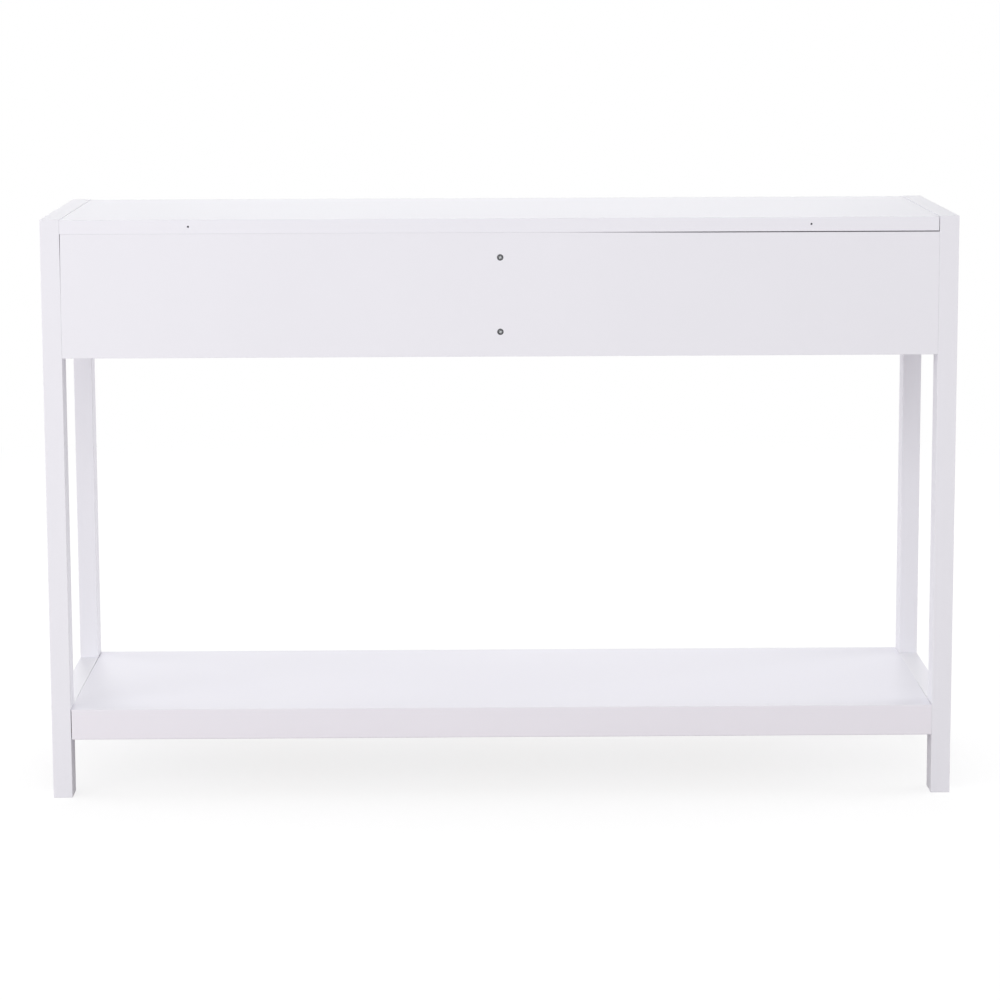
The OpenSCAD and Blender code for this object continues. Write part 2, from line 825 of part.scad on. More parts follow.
drawer_front(right);  // right_drawer_front
drawer_side(right, left);  // right_drawer_left_side
drawer_side(right, right);  // right_drawer_right_side
drawer_back(right);  // right_drawer_back
drawer_bottom(right);  // right_drawer_bottom
drawer_knob(right);  // right_drawer_knob
drawer_knob_screw(right);  // right_drawer_knob_screw
drawer_dowels(right);  // right_drawer_dowels
drawer_cam_bolts(right);  // right_drawer_cam_bolts
drawer_cam_locks(right);  // right_drawer_cam_locks
drawer_rail_screws(right);  // right_drawer_rail_screws
drawer_rail(right, left);  // right_drawer_left_rail
drawer_rail(right, right);  // right_drawer_right_rail
middle_rail(right, left);  // right_bay_left_middle_rail
middle_rail(right, right);  // right_bay_right_middle_rail
outer_ball_strips(right);  // right_bay_outer_ball_strips
inner_ball_strips(right);  // right_bay_inner_ball_strips
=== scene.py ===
"""White console table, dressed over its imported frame. Metres, drawers at -Y, apron at +Y, floor at Z = 0."""

import math

import bmesh
import bpy
import numpy as np
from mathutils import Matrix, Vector


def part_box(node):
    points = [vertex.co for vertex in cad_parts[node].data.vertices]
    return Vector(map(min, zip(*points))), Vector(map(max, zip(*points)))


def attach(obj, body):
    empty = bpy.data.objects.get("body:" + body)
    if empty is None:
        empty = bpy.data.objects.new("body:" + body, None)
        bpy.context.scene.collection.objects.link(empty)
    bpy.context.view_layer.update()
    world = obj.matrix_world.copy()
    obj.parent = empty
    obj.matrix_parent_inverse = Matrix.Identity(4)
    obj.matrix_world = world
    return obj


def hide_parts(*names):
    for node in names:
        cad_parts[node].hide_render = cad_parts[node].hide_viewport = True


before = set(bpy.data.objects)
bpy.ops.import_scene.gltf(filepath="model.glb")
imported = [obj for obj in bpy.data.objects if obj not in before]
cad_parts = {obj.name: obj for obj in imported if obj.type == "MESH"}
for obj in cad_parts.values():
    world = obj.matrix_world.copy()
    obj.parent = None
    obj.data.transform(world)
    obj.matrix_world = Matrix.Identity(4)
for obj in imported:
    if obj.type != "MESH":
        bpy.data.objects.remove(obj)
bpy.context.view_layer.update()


# ---- Studio ----
# A pale floor in a white room. Two big soft lamps stand at the apron's side, one at the drawers'
# side and one off each end of the table, and the room fills in from all round.

def add_node(tree, kind, sockets=None, **settings):
    """A shader node of that kind. sockets gives each input a value, or the output that feeds it."""
    made = tree.nodes.new(f"ShaderNode{kind}")
    for name, value in settings.items():
        setattr(made, name, value)
    for name, value in (sockets or {}).items():
        if isinstance(value, bpy.types.NodeSocket):
            tree.links.new(value, made.inputs[name])
        else:
            made.inputs[name].default_value = value
    return made


def maths(tree, operation, *values, clamp=False):
    """What a Math node makes of those values."""
    return add_node(tree, "Math", dict(enumerate(values)), operation=operation, use_clamp=clamp).outputs[0]


def ranged(tree, value, before=(0.0, 1.0), after=(0.0, 1.0), **settings):
    """A value taken from one range to another, and held at the ends."""
    sockets = {"Value": value, "From Min": before[0], "From Max": before[1],
               "To Min": after[0], "To Max": after[1]}
    return add_node(tree, "MapRange", sockets, **settings).outputs[0]


def mixed(tree, share, first, second):
    """The first colour where the share is 0 and the second where it is 1.

    The Mix node's colours go in at its sockets 6 and 7 and come out of its output 2.
    """
    return add_node(tree, "Mix", {"Factor": share, 6: first, 7: second}, data_type="RGBA").outputs[2]


def seen_directly(tree):
    """1 for rays from the camera, in a gloss or through glass, and 0 for the rays that light things."""
    ray = add_node(tree, "LightPath").outputs
    in_gloss = maths(tree, "MAXIMUM", ray["Is Camera Ray"], ray["Is Glossy Ray"])
    return maths(tree, "MAXIMUM", in_gloss, ray["Is Transmission Ray"])


scene = bpy.context.scene
scene.view_settings.view_transform = "Standard"
scene.world = bpy.data.worlds.new("studio")
scene.world.use_nodes = True
room = scene.world.node_tree
room_light = 0.65
walls = room.nodes["Background"].inputs
walls["Color"].default_value = (1, 1, 1, 1)
room.links.new(ranged(room, seen_directly(room), after=(room_light, 1.0)), walls["Strength"])

floor_half = 9.0
floor_bounce = (0.6, 0.57, 0.59, 1)
fade_radii = (1.5, 3.2)
shadow_catch = 0.26
floor_glow = 0.78
floor_mesh = bpy.data.meshes.new("studio_floor")
floor_mesh.from_pydata([(x * floor_half, y * floor_half, 0) for x, y in ((-1, -1), (1, -1), (1, 1), (-1, 1))],
                       [], [(0, 1, 2, 3)])
floor = bpy.data.objects.new("studio_floor", floor_mesh)
scene.collection.objects.link(floor)
floor_paint = bpy.data.materials.new("floor_paint")
floor_paint.use_nodes = True
floor_mesh.materials.append(floor_paint)
paint = floor_paint.node_tree
paint_shader = paint.nodes["Principled BSDF"].inputs
paint_shader["Roughness"].default_value = 1.0
paint_shader["Specular IOR Level"].default_value = 0.0
paint_shader["Emission Color"].default_value = (1, 1, 1, 1)
seen = seen_directly(paint)
floor_place = add_node(paint, "TexCoord").outputs["Object"]
floor_radius = add_node(paint, "VectorMath", {0: floor_place}, operation="LENGTH").outputs["Value"]
fade = ranged(paint, floor_radius, fade_radii, interpolation_type="SMOOTHSTEP")
floor_tone = mixed(paint, seen, floor_bounce, ranged(paint, fade, after=(shadow_catch, 0.0)))
paint.links.new(floor_tone, paint_shader["Base Color"])
floor_light = maths(paint, "MULTIPLY", seen, ranged(paint, fade, after=(floor_glow, 1.0)))
paint.links.new(floor_light, paint_shader["Emission Strength"])

table_middle = Vector((0, 0, 0.4))


def soft_lamp(name, place, width, watts, mirrored=True):
    """A square lamp of that width at a place, turned to the table. Unless mirrored, no gloss shows it."""
    light = bpy.data.lights.new(name, "AREA")
    light.size = width
    light.energy = watts
    lamp = bpy.data.objects.new(name, light)
    lamp.location = place
    lamp.rotation_euler = (table_middle - Vector(place)).to_track_quat("-Z", "Y").to_euler()
    lamp.visible_camera = False
    lamp.visible_glossy = mirrored
    scene.collection.objects.link(lamp)


soft_lamp("apron_side_lamp", (3.0, 3.6, 1.5), 3.0, 61)
soft_lamp("apron_side_fill", (0.2, 4.3, 1.5), 3.2, 35)
soft_lamp("drawer_side_lamp", (0.2, -4.3, 1.7), 2.8, 52)
soft_lamp("right_end_lamp", (4.6, -0.6, 1.2), 2.4, 44)
soft_lamp("left_end_lamp", (-4.6, -0.8, 1.2), 2.4, 76, mirrored=False)

camera_data = bpy.data.cameras.new("camera")
camera_data.sensor_width = 36
camera_data.lens = 121.7
camera = bpy.data.objects.new("camera", camera_data)
camera.location = (0.045, 4.538, 1.085)
camera.rotation_euler = np.radians((80.94, 0.21, 179.39))
scene.collection.objects.link(camera)
scene.camera = camera


# ---- Posts ----
# Four square posts of 25 mm board, 40 mm from front to rear, with eased arrises. They are sprayed
# with a cool white satin lacquer all round, over the sawn ends too.

MM = 0.001
same_point = 0.0001 * MM
cut_sliver = 0.002 * MM


def clean(mesh, reach):
    """Merges the points that lie within reach of each other and drops the faces that vanish."""
    work = bmesh.new()
    work.from_mesh(mesh)
    bmesh.ops.remove_doubles(work, verts=work.verts, dist=reach)
    bmesh.ops.dissolve_degenerate(work, edges=work.edges, dist=reach)
    work.to_mesh(mesh)
    work.free()


def link_mesh(name, points, faces, material):
    """A smooth mesh object, with points that coincide merged."""
    mesh = bpy.data.meshes.new(name)
    corners = [[int(corner) for corner in face] for face in faces]
    mesh.from_pydata(np.reshape(points, (-1, 3)).tolist(), [], corners)
    clean(mesh, same_point)
    mesh.shade_smooth()
    mesh.materials.append(material)
    made = bpy.data.objects.new(name, mesh)
    scene.collection.objects.link(made)
    return made


def grid_faces(rows, columns, first=0):
    """Quads between neighbours of a grid of points whose columns close into a ring."""
    row, column = np.meshgrid(np.arange(rows - 1), np.arange(columns), indexing="ij")
    near = row * columns + column
    far = row * columns + (column + 1) % columns
    return first + np.stack([near, far, far + columns, near + columns], -1).reshape(-1, 4)


def capped_faces(rows, columns, first=0):
    """The quads of such a grid, with a lid on its first ring and one on its last."""
    ring = first + np.arange(columns)
    return [*grid_faces(rows, columns, first), ring[::-1], ring + (rows - 1) * columns]


def eased_board(low, high, ease, along, bands=1, side_bands=1, steps=3):
    """A board with rounded arrises: a rounded rectangle carried along one axis and drawn in at its ends.

    It is a ball of radius ease cut into eight parts, which move out to the corners of the board, with
    flat faces between them. Rows count along the board and columns round it. The flats are divided
    into bands lengthways and side_bands round the section.
    """
    inner_low, inner_high = np.array(low, float) + ease, np.array(high, float) - ease
    arc = np.linspace(0, np.pi / 2, steps + 1)
    quarter = np.arange(4)[:, None]
    turn = (np.append(arc, np.full(side_bands - 1, np.pi / 2)) + quarter * np.pi / 2).ravel()
    corner = (np.append(np.zeros(steps + 1), np.arange(1, side_bands) / side_bands) + quarter).ravel()
    reach = np.concatenate([np.sin(arc), np.ones(bands - 1), np.cos(arc)])
    way = np.concatenate([-np.cos(arc), np.zeros(bands - 1), np.sin(arc)])
    middles = np.linspace(inner_low[along], inner_high[along], bands + 1)
    station = np.concatenate([np.full(steps, middles[0]), middles, np.full(steps, middles[-1])])
    points = np.zeros((len(station), len(turn), 3))
    points[..., along] = (station + ease * way)[:, None]
    for axis, wave, at_high in (((along + 1) % 3, np.cos(turn), (1, 0, 0, 1, 1)),
                                ((along + 2) % 3, np.sin(turn), (1, 1, 0, 0, 1))):
        share = np.interp(corner, np.arange(5), at_high)
        flat = inner_low[axis] + share * (inner_high[axis] - inner_low[axis])
        points[..., axis] = flat + ease * wave * reach[:, None]
    return points, capped_faces(*points.shape[:2])


def gathered(items, name, width, kind=float):
    """One property of every item of a mesh, as an array of that many columns."""
    values = np.zeros(len(items) * width, kind)
    items.foreach_get(name, values)
    return values.reshape(-1, width)


def board_normals(board, low, high, ease):
    """Exact shading of an eased board: each normal leads away from the box that lies one ease inside it.

    Faces in a hole have no such normal and keep their own. An attribute named arris says how much of
    the rounding a point is in.
    """
    mesh = board.data
    inner_low, inner_high = np.array(low) + ease, np.array(high) - ease
    places = gathered(mesh.vertices, "co", 3)
    outward = places - np.clip(places, inner_low, inner_high)
    outward /= np.maximum(np.linalg.norm(outward, axis=1, keepdims=True), 1e-9)
    centres = gathered(mesh.polygons, "center", 3)
    outside = np.linalg.norm(centres - np.clip(centres, inner_low, inner_high), axis=1) > ease / 2
    totals = gathered(mesh.polygons, "loop_total", 1, int)[:, 0]
    corners = gathered(mesh.loops, "vertex_index", 1, int)[:, 0]
    mesh.normals_split_custom_set((outward[corners] * np.repeat(outside, totals)[:, None]).tolist())
    rounding = mesh.attributes.new("arris", "FLOAT", "POINT")
    rounding.data.foreach_set("value", 1 - np.abs(outward).max(axis=1))


def cut_out(board, tools):
    """Takes closed tool shapes out of a board and then removes the tools."""
    for number, tool in enumerate(tools):
        cut = board.modifiers.new(f"cut_{number}", "BOOLEAN")
        cut.operation = "DIFFERENCE"
        cut.solver = "EXACT"
        cut.object = tool
    bpy.context.view_layer.update()
    solid = bpy.data.meshes.new_from_object(board.evaluated_get(bpy.context.evaluated_depsgraph_get()))
    clean(solid, cut_sliver)
    board.modifiers.clear()
    board.data = solid
    for tool in tools:
        bpy.data.objects.remove(tool)


def turned(name, outline, place, direction, material, sides=32):
    """A turned solid: an outline of (radius, distance) carried round an axis that starts at a place.

    Points sit at place + distance * direction + radius * (cos a, sin a) in the plane across it, with
    the outline's two ends closed on the axis.
    """
    radius, distance = np.array(outline, float).T[..., None, None]
    axis = np.array(direction, float) / np.linalg.norm(direction)
    side = np.cross(axis, (0, 0, 1) if abs(axis[2]) < 0.9 else (1, 0, 0))
    side /= np.linalg.norm(side)
    angle = (np.arange(sides) * 2 * np.pi / sides)[:, None]
    spoke = np.cos(angle) * side + np.sin(angle) * np.cross(axis, side)
    points = np.array(place) + distance * axis + radius * spoke
    return link_mesh(name, points, capped_faces(*points.shape[:2]), material)


def finish_group(name, sockets):
    """A shader node group with those inputs (name: kind, default) that gives Colour, Roughness and Height.

    It comes with what goes into it and what comes out of it.
    """
    group = bpy.data.node_groups.new(name, "ShaderNodeTree")
    for socket, (kind, default) in sockets.items():
        made = group.interface.new_socket(socket, in_out="INPUT", socket_type=f"NodeSocket{kind}")
        made.default_value = default
    for socket, kind in (("Colour", "Color"), ("Roughness", "Float"), ("Height", "Float")):
        group.interface.new_socket(socket, in_out="OUTPUT", socket_type=f"NodeSocket{kind}")
    return group, group.nodes.new("NodeGroupInput").outputs, group.nodes.new("NodeGroupOutput").inputs


def noise(tree, place, scale, detail, roughness=0.5, distortion=0.0):
    """Soft noise round a half, with about that many waves to the metre."""
    return add_node(tree, "TexNoise", {"Vector": place, "Scale": scale, "Detail": detail,
                                       "Roughness": roughness, "Distortion": distortion}).outputs["Fac"]


# Sprayed and rolled finishes: a cloudy tone, a fine skin, and a thinner coat on the arrises.
coating, coat_in, coat_out = finish_group(
    "coating",
    {"Colour": ("Color", (0.8, 0.8, 0.8, 1)), "Thin colour": ("Color", (0.7, 0.7, 0.7, 1)),
     "Cloud": ("Float", 0.02), "Cloud scale": ("Float", 4.0), "Skin scale": ("Float", 900.0),
     "Roughness": ("Float", 0.4), "Roughness change": ("Float", 0.06)})
rub_scale = 55.0
rub_strength = 4.0
coat_place = add_node(coating, "TexCoord").outputs["Object"]
clouds = noise(coating, coat_place, coat_in["Cloud scale"], 3.0, roughness=0.55)
cloud_tones = [maths(coating, way, 1.0, coat_in["Cloud"]) for way in ("SUBTRACT", "ADD")]
cloud_tone = ranged(coating, clouds, (0.3, 0.7), cloud_tones)
toned = add_node(coating, "VectorMath", {0: coat_in["Colour"], "Scale": cloud_tone}, operation="SCALE")
on_arris = add_node(coating, "Attribute", attribute_name="arris").outputs["Fac"]
rubbed = maths(coating, "MULTIPLY", on_arris, noise(coating, coat_place, rub_scale, 4.0))
worn_share = maths(coating, "MULTIPLY", rubbed, rub_strength, clamp=True)
coating.links.new(mixed(coating, worn_share, toned.outputs[0], coat_in["Thin colour"]), coat_out["Colour"])
cloud_offset = maths(coating, "SUBTRACT", clouds, 0.5)
coat_change = maths(coating, "MULTIPLY", cloud_offset, coat_in["Roughness change"])
coating.links.new(maths(coating, "ADD", coat_change, coat_in["Roughness"], clamp=True), coat_out["Roughness"])
coating.links.new(noise(coating, coat_place, coat_in["Skin scale"], 2.0), coat_out["Height"])


def grouped_material(name, group, values, bump, distance, sockets):
    """A material whose shader takes a group's Colour, Roughness and Height, and plain values of its own."""
    made = bpy.data.materials.new(name)
    made.use_nodes = True
    tree = made.node_tree
    shader = tree.nodes["Principled BSDF"].inputs
    source = add_node(tree, "Group", node_tree=group)
    for socket, value in values.items():
        source.inputs[socket].default_value = value
    tree.links.new(source.outputs["Colour"], shader["Base Color"])
    tree.links.new(source.outputs["Roughness"], shader["Roughness"])
    relief = add_node(tree, "Bump", {"Height": source.outputs["Height"], "Strength": bump,
                                     "Distance": distance})
    tree.links.new(relief.outputs["Normal"], shader["Normal"])
    for socket, value in sockets.items():
        shader[socket].default_value = value
    return made


def lacquer(name, colour, thin, gloss=0.3, roughness=0.48):
    """Satin lacquer of a colour, with the colour it has where it lies thin on an arris."""
    return grouped_material(
        name, coating,
        {"Colour": (*colour, 1), "Thin colour": (*thin, 1), "Cloud": 0.006, "Cloud scale": 5.0,
         "Skin scale": 1100.0, "Roughness": roughness, "Roughness change": 0.08},
        bump=0.06, distance=0.2 * MM, sockets={"IOR": 1.46, "Specular IOR Level": gloss})


def stand_for(node, piece, body):
    """The piece moves with a body and stands for a CAD node, which it hides."""
    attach(piece, body)
    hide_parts(node)


def fit_board(node, along, material, ease, bands=(1, 1), body="frame", shape=None,
              tools=()):
    """An eased board in a CAD node's place. shape moves its points a little, and tools are cut out of it."""
    low, high = (np.array(corner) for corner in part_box(node))
    points, faces = eased_board(low, high, ease, along, *bands)
    if shape:
        shape(points, low, high)
    board = link_mesh(f"{node}_board", points, faces, material)
    if tools:
        cut_out(board, tools)
    board_normals(board, low, high, ease)
    stand_for(node, board, body)


post_lacquer = lacquer("post_lacquer", (0.825, 0.82, 0.862), (0.78, 0.77, 0.80), 0.2, 0.58)
post_arris = 0.6 * MM
for node in ("front_left_post", "front_right_post", "rear_left_post", "rear_right_post"):
    fit_board(node, 2, post_lacquer, post_arris)


# ---- End panels and lower rails ----
# Between the posts of each end: a panel beside the drawers and a rail beside the shelf, of the same
# 25 mm board, doweled and glued to the posts, so only hairline joints show. The panels take the posts'
# lacquer, and the rails take a glossier copy of it in a slightly lighter colour: painted light, which
# brightens the rails where the end panels and posts shade them.

# A slightly lighter copy of the lacquer: painted light for the shade on the rails.
rail_painted_light_lacquer = lacquer("rail_painted_light_lacquer", (0.83, 0.825, 0.87), (0.79, 0.785, 0.81), 0.35, 0.5)
end_arris = 0.5 * MM
for side in ("left", "right"):
    fit_board(f"{side}_end_panel", 1, post_lacquer, end_arris)
    fit_board(f"{side}_lower_rail", 1, rail_painted_light_lacquer, end_arris)


# ---- Top panel ----
# One 18 mm board between the end frames, pulled tight by cam locks from below. Two small holes in its
# rear edge take the wall anchors. At its -X end it stops a hair short of the post.

def drill(place, direction, outline):
    """A turned tool that starts at a place just outside a face and goes down into it."""
    return turned("drill", outline, place, direction, None, sides=28)


def round_pocket(place, direction, radius, depth):
    """A tool for a flat-bottomed pocket that goes down from a place on a face."""
    start = np.array(place, float) - MM * np.array(direction)
    return drill(start, direction, [(radius, 0), (radius, depth + MM)])


cam_radius = 7.6 * MM
cam_depth = 12.6 * MM
cam_in = 34 * MM


def cam_pockets(low, high, ys):
    """Tools for the cam locks' pockets near both ends of a board, going up from its lower face."""
    return [round_pocket((x, y, low[2]), (0, 0, 1), cam_radius, cam_depth)
            for x in (low[0] + cam_in, high[0] - cam_in) for y in ys]


top_lacquer = lacquer("top_lacquer", (0.84, 0.835, 0.88), (0.79, 0.785, 0.82), 0.2, 0.58)
top_low, top_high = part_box("top_panel")
top_arris = 0.35 * MM
anchor_out = 400 * MM
anchor_down = 9 * MM
anchor_radius = 1.5 * MM
anchor_depth = 25 * MM
anchor_tip = 0.2 * MM
cam_edge = 100 * MM
end_gap = 0.8 * MM
gap_run = 40 * MM
end_face = 2 * MM


def short_end(points, low, high):
    """Draws the rear corner of the -X end in by the gap, which closes over a short run along the end."""
    near_rear = np.clip((points[..., 1] - high[1] + gap_run) / gap_run, 0, 1)
    points[..., 0] += end_gap * near_rear * (points[..., 0] < low[0] + end_face)


anchor_outline = [(anchor_radius, 0), (anchor_radius, anchor_depth), (anchor_tip, anchor_depth + MM)]
anchor_tools = [drill((x, top_high[1] + MM, top_high[2] - anchor_down), (0, -1, 0), anchor_outline)
                for x in (-anchor_out, anchor_out)]
top_cams = cam_pockets(top_low, top_high, (top_low[1] + cam_edge, top_high[1] - cam_edge))
fit_board("top_panel", 0, top_lacquer, top_arris, bands=(1, 10), shape=short_end,
          tools=anchor_tools + top_cams)


# ---- Rear apron ----
# The closed back of the drawer case, an 18 mm board set flush with the posts. It hangs from the cam
# locks near its ends and sags away from the top towards -X, where a dark gap opens.

apron_lacquer = lacquer("apron_lacquer", (0.825, 0.82, 0.862), (0.77, 0.76, 0.80))
apron_low, apron_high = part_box("rear_apron")
apron_arris = 0.4 * MM
gap_start = -20 * MM
gap_full = -300 * MM
top_gap = 1.3 * MM
side_gap = 0.7 * MM
apron_cam_edge = 56 * MM
screw_edge = 32 * MM
screw_head_radius = 4.25 * MM
screw_shank_radius = 2 * MM
screw_play = 0.3 * MM
screw_bore = 30 * MM


def hung_apron(points, low, high):
    """Lowers the upper arris by a gap that grows smoothly towards -X, and draws the upper +X end in."""
    x, z = points[..., 0].copy(), points[..., 2].copy()
    share = np.clip((gap_start - x) / (gap_start - gap_full), 0, 1)
    share = share * share * (3 - 2 * share)
    points[..., 2] -= top_gap * share * (z > (low[2] + high[2]) / 2)
    rise = np.clip(2 * (z - low[2]) / (high[2] - low[2]) - 1, 0, 1)
    points[..., 0] -= side_gap * rise * (x > high[0] - end_face)


sink = screw_head_radius - screw_shank_radius
bore_radius = screw_shank_radius + screw_play
sink_outline = [(screw_head_radius + sink + screw_play, 0), (bore_radius, 2 * sink),
                (bore_radius, screw_bore)]
screw_heights = (apron_low[2] + screw_edge, apron_high[2] - screw_edge)
apron_tools = [round_pocket((x, apron_low[1], z), (0, 1, 0), cam_radius, cam_depth)
               for x in (apron_low[0] + cam_in, apron_high[0] - cam_in)
               for z in (apron_low[2] + apron_cam_edge, apron_high[2] - apron_cam_edge)]
apron_tools += [drill((0, apron_high[1] + sink, z), (0, -1, 0), sink_outline) for z in screw_heights]
fit_board("rear_apron", 0, apron_lacquer, apron_arris, bands=(24, 4), shape=hung_apron, tools=apron_tools)


# ---- Divider screws ----
# Two cross-head steel screws, one above the other on the apron's middle, that go through it into the
# divider. The heads sit flush in countersinks. Their dark colour is painted shade, standing for the
# shadowed ring round each head, and their bright crosses are a painted highlight for light caught in the
# recess.

def cross_screws(node, body, spots, head, shank, cross, material):
    """The screws of a CAD node, each one polar grid: out over the head, round its edge and on to the tip.

    head and shank are outlines of (radius, distance) on an axis that starts at the screw's place. Each
    spot is a place, the level way that the head faces and its turn in degrees. cross is half the width
    of an arm, its reach and its depth. A point of the head is pressed down by the whole depth within
    0.6 of an arm's half width, by less and less out to 1.4 of it, and by less again over the outer half
    of the reach. A point attribute is 1 in the cross and 0 on the rest, and the cross takes a colour of
    its own from it: a painted highlight on the dark divider screws, and a darker cross on the zinc ones.
    """
    sides = 48
    radius, distance = np.concatenate([head, shank]).T[..., None]
    rows = len(radius)
    on_head = np.arange(rows)[:, None] < len(head)
    angle = np.arange(sides) * 2 * np.pi / sides
    x, y = radius * np.cos(angle), radius * np.sin(angle)
    arm_half, arm_end, pit = cross
    off_arm = np.minimum(np.abs(x), np.abs(y)) / arm_half
    out_arm = np.maximum(np.abs(x), np.abs(y)) / arm_end
    pressed = np.clip((1.4 - off_arm) / 0.8, 0, 1) * np.clip((1 - out_arm) / 0.5, 0, 1) * on_head
    cross_sheen_and_tone = (off_arm < 1.2) & (out_arm < 0.85) & on_head
    place, axis = (np.array([spot[part] for spot in spots], float)[:, None, None] for part in (0, 1))
    turn = np.radians([spot[2] for spot in spots])[:, None, None]
    side = np.cross(axis, (0, 0, 1))
    up = np.cross(axis, side)
    points = (place + (distance - pit * pressed)[..., None] * axis
              + (x * np.cos(turn) - y * np.sin(turn))[..., None] * side
              + (x * np.sin(turn) + y * np.cos(turn))[..., None] * up)
    first = np.arange(len(spots)) * rows * sides
    faces = [face[::-1] for start in first for face in capped_faces(rows, sides, start)]
    screws = link_mesh(f"{node}_cross_headed", points, faces, material)
    # Marks the crosses, which take a colour of their own: a painted highlight on the dark divider screws.
    cross_sheen_and_tone_marks = np.tile(cross_sheen_and_tone.ravel(), len(spots)).astype(float)
    screws.data.attributes.new("cross_sheen_and_tone", "FLOAT", "POINT").data.foreach_set("value", cross_sheen_and_tone_marks)
    stand_for(node, screws, body)


def domed(radius, height, fall, rings):
    """The upper face of a head as rings of (radius, distance) that fall away as the square of the radius.

    The first ring is a hair wide, so that the middle is closed by a small face.
    """
    share = np.linspace(0.005, 1, rings)
    return np.stack([radius * share, height - fall * share ** 2], -1)


# Plated and drawn metal: fine streaks along one axis, darker patches, and a colour of its own in the
# marked crosses of screw heads: a painted highlight on the dark divider screws, a darker cross on zinc ones.
metal_skin, metal_in, metal_out = finish_group(
    "metal_skin",
    {"Colour": ("Color", (0.6, 0.6, 0.6, 1)), "Dark colour": ("Color", (0.4, 0.4, 0.4, 1)),
     "Cross sheen and tone colour": ("Color", (0.48, 0.49, 0.50, 1)), "Stretch": ("Vector", (1, 1, 1)),
     "Roughness": ("Float", 0.3), "Roughness change": ("Float", 0.1), "Patch scale": ("Float", 60.0)})
streak_scale = 1000.0
metal_place = add_node(metal_skin, "TexCoord").outputs["Object"]
drawn = add_node(metal_skin, "VectorMath", {0: metal_place, 1: metal_in["Stretch"]}, operation="MULTIPLY")
streaks = noise(metal_skin, drawn.outputs[0], streak_scale, 3.0)
patches = ranged(metal_skin, noise(metal_skin, metal_place, metal_in["Patch scale"], 4.0), (0.4, 0.7))
plated = mixed(metal_skin, patches, metal_in["Colour"], metal_in["Dark colour"])
# The marked crosses take the cross colour: a painted highlight on the dark divider screws.
cross_sheen_and_tone_mask = add_node(metal_skin, "Attribute", attribute_name="cross_sheen_and_tone").outputs["Fac"]
metal_skin.links.new(mixed(metal_skin, cross_sheen_and_tone_mask, plated, metal_in["Cross sheen and tone colour"]), metal_out["Colour"])
streak_offset = maths(metal_skin, "SUBTRACT", streaks, 0.5)
streak_change = maths(metal_skin, "MULTIPLY", streak_offset, metal_in["Roughness change"])
metal_dull = maths(metal_skin, "ADD", streak_change, metal_in["Roughness"], clamp=True)
metal_skin.links.new(metal_dull, metal_out["Roughness"])
metal_skin.links.new(streaks, metal_out["Height"])


def plated_metal(name, colour, dark, roughness, stretch=(1, 1, 1), patch_scale=60.0, change=0.18, bump=0.12):
    """Plated metal of a colour with darker patches, drawn out along the axis whose stretch is small."""
    return grouped_material(
        name, metal_skin,
        {"Colour": (*colour, 1), "Dark colour": (*dark, 1), "Stretch": stretch, "Roughness": roughness,
         "Roughness change": change, "Patch scale": patch_scale},
        bump=bump, distance=0.1 * MM, sockets={"Metallic": 1.0})


# Painted shade: the divider screws' heads are coloured this dark to stand for the shadowed ring round them.
painted_shade_steel = plated_metal("painted_shade_steel", (0.10, 0.10, 0.105), (0.055, 0.055, 0.06), 0.4, patch_scale=400.0)
screw_below = 0.4 * MM
screw_crown = 0.3 * MM
screw_length = 50 * MM
screw_point = 6 * MM
screw_tip = 0.05 * MM
screw_spots = [((0, apron_high[1] - screw_below, z), (0, 1, 0), turn)
               for z, turn in zip(screw_heights, (28, 64))]
cross_screws("divider_screws", "frame", screw_spots,
             head=domed(screw_head_radius, screw_crown, screw_crown, 24),
             shank=[(screw_shank_radius, -sink), (screw_shank_radius, screw_point - screw_length),
                    (screw_tip, -screw_length)],
             cross=(0.6 * MM, 2.4 * MM, 0.9 * MM), material=painted_shade_steel)


# ---- Divider and front rail ----
# The divider stands between the two drawers and carries a slide on each face. The front rail lies
# flat under the drawer fronts and ties the front posts together. Both are lacquered 18 mm board.

case_arris = 0.6 * MM
rail_low, rail_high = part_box("front_rail")
rail_cam_in = 28 * MM
fit_board("centre_divider", 1, post_lacquer, case_arris)
fit_board("front_rail", 0, post_lacquer, case_arris,
          tools=cam_pockets(rail_low, rail_high, (rail_low[1] + rail_cam_in,)))


# ---- Shelf ----
# An 18 mm board with a lip folded down at the front and rear. The edges are mitred and folded in one
# skin, so the arris is rounded and has no seam. Three planed battens stiffen it from below.

shelf_lacquer = lacquer("shelf_lacquer", (0.81, 0.803, 0.858), (0.79, 0.785, 0.82), 0.25, 0.54)
# The lips take a pinker copy of the lacquer: a painted pink cast, standing for the light that the floor
# bounces up onto them.
lip_painted_bounce_lacquer = lacquer("lip_painted_bounce_lacquer", (0.835, 0.81, 0.858), (0.80, 0.79, 0.82))
shelf_low, shelf_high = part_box("shelf_board")
shelf_thick = shelf_high[2] - shelf_low[2]
shelf_arris = 0.4 * MM
lip_arris = 0.5 * MM
fold = 1.2 * MM
lip_gap = 0.9 * MM


def flat_faced(piece):
    """Keeps wide faces flat beside narrow rounded ones, and sharp edges sharp."""
    piece.data.set_sharp_from_angle(angle=math.radians(40))
    smooth = piece.modifiers.new("flat_faces", "WEIGHTED_NORMAL")
    smooth.keep_sharp = True
    return piece


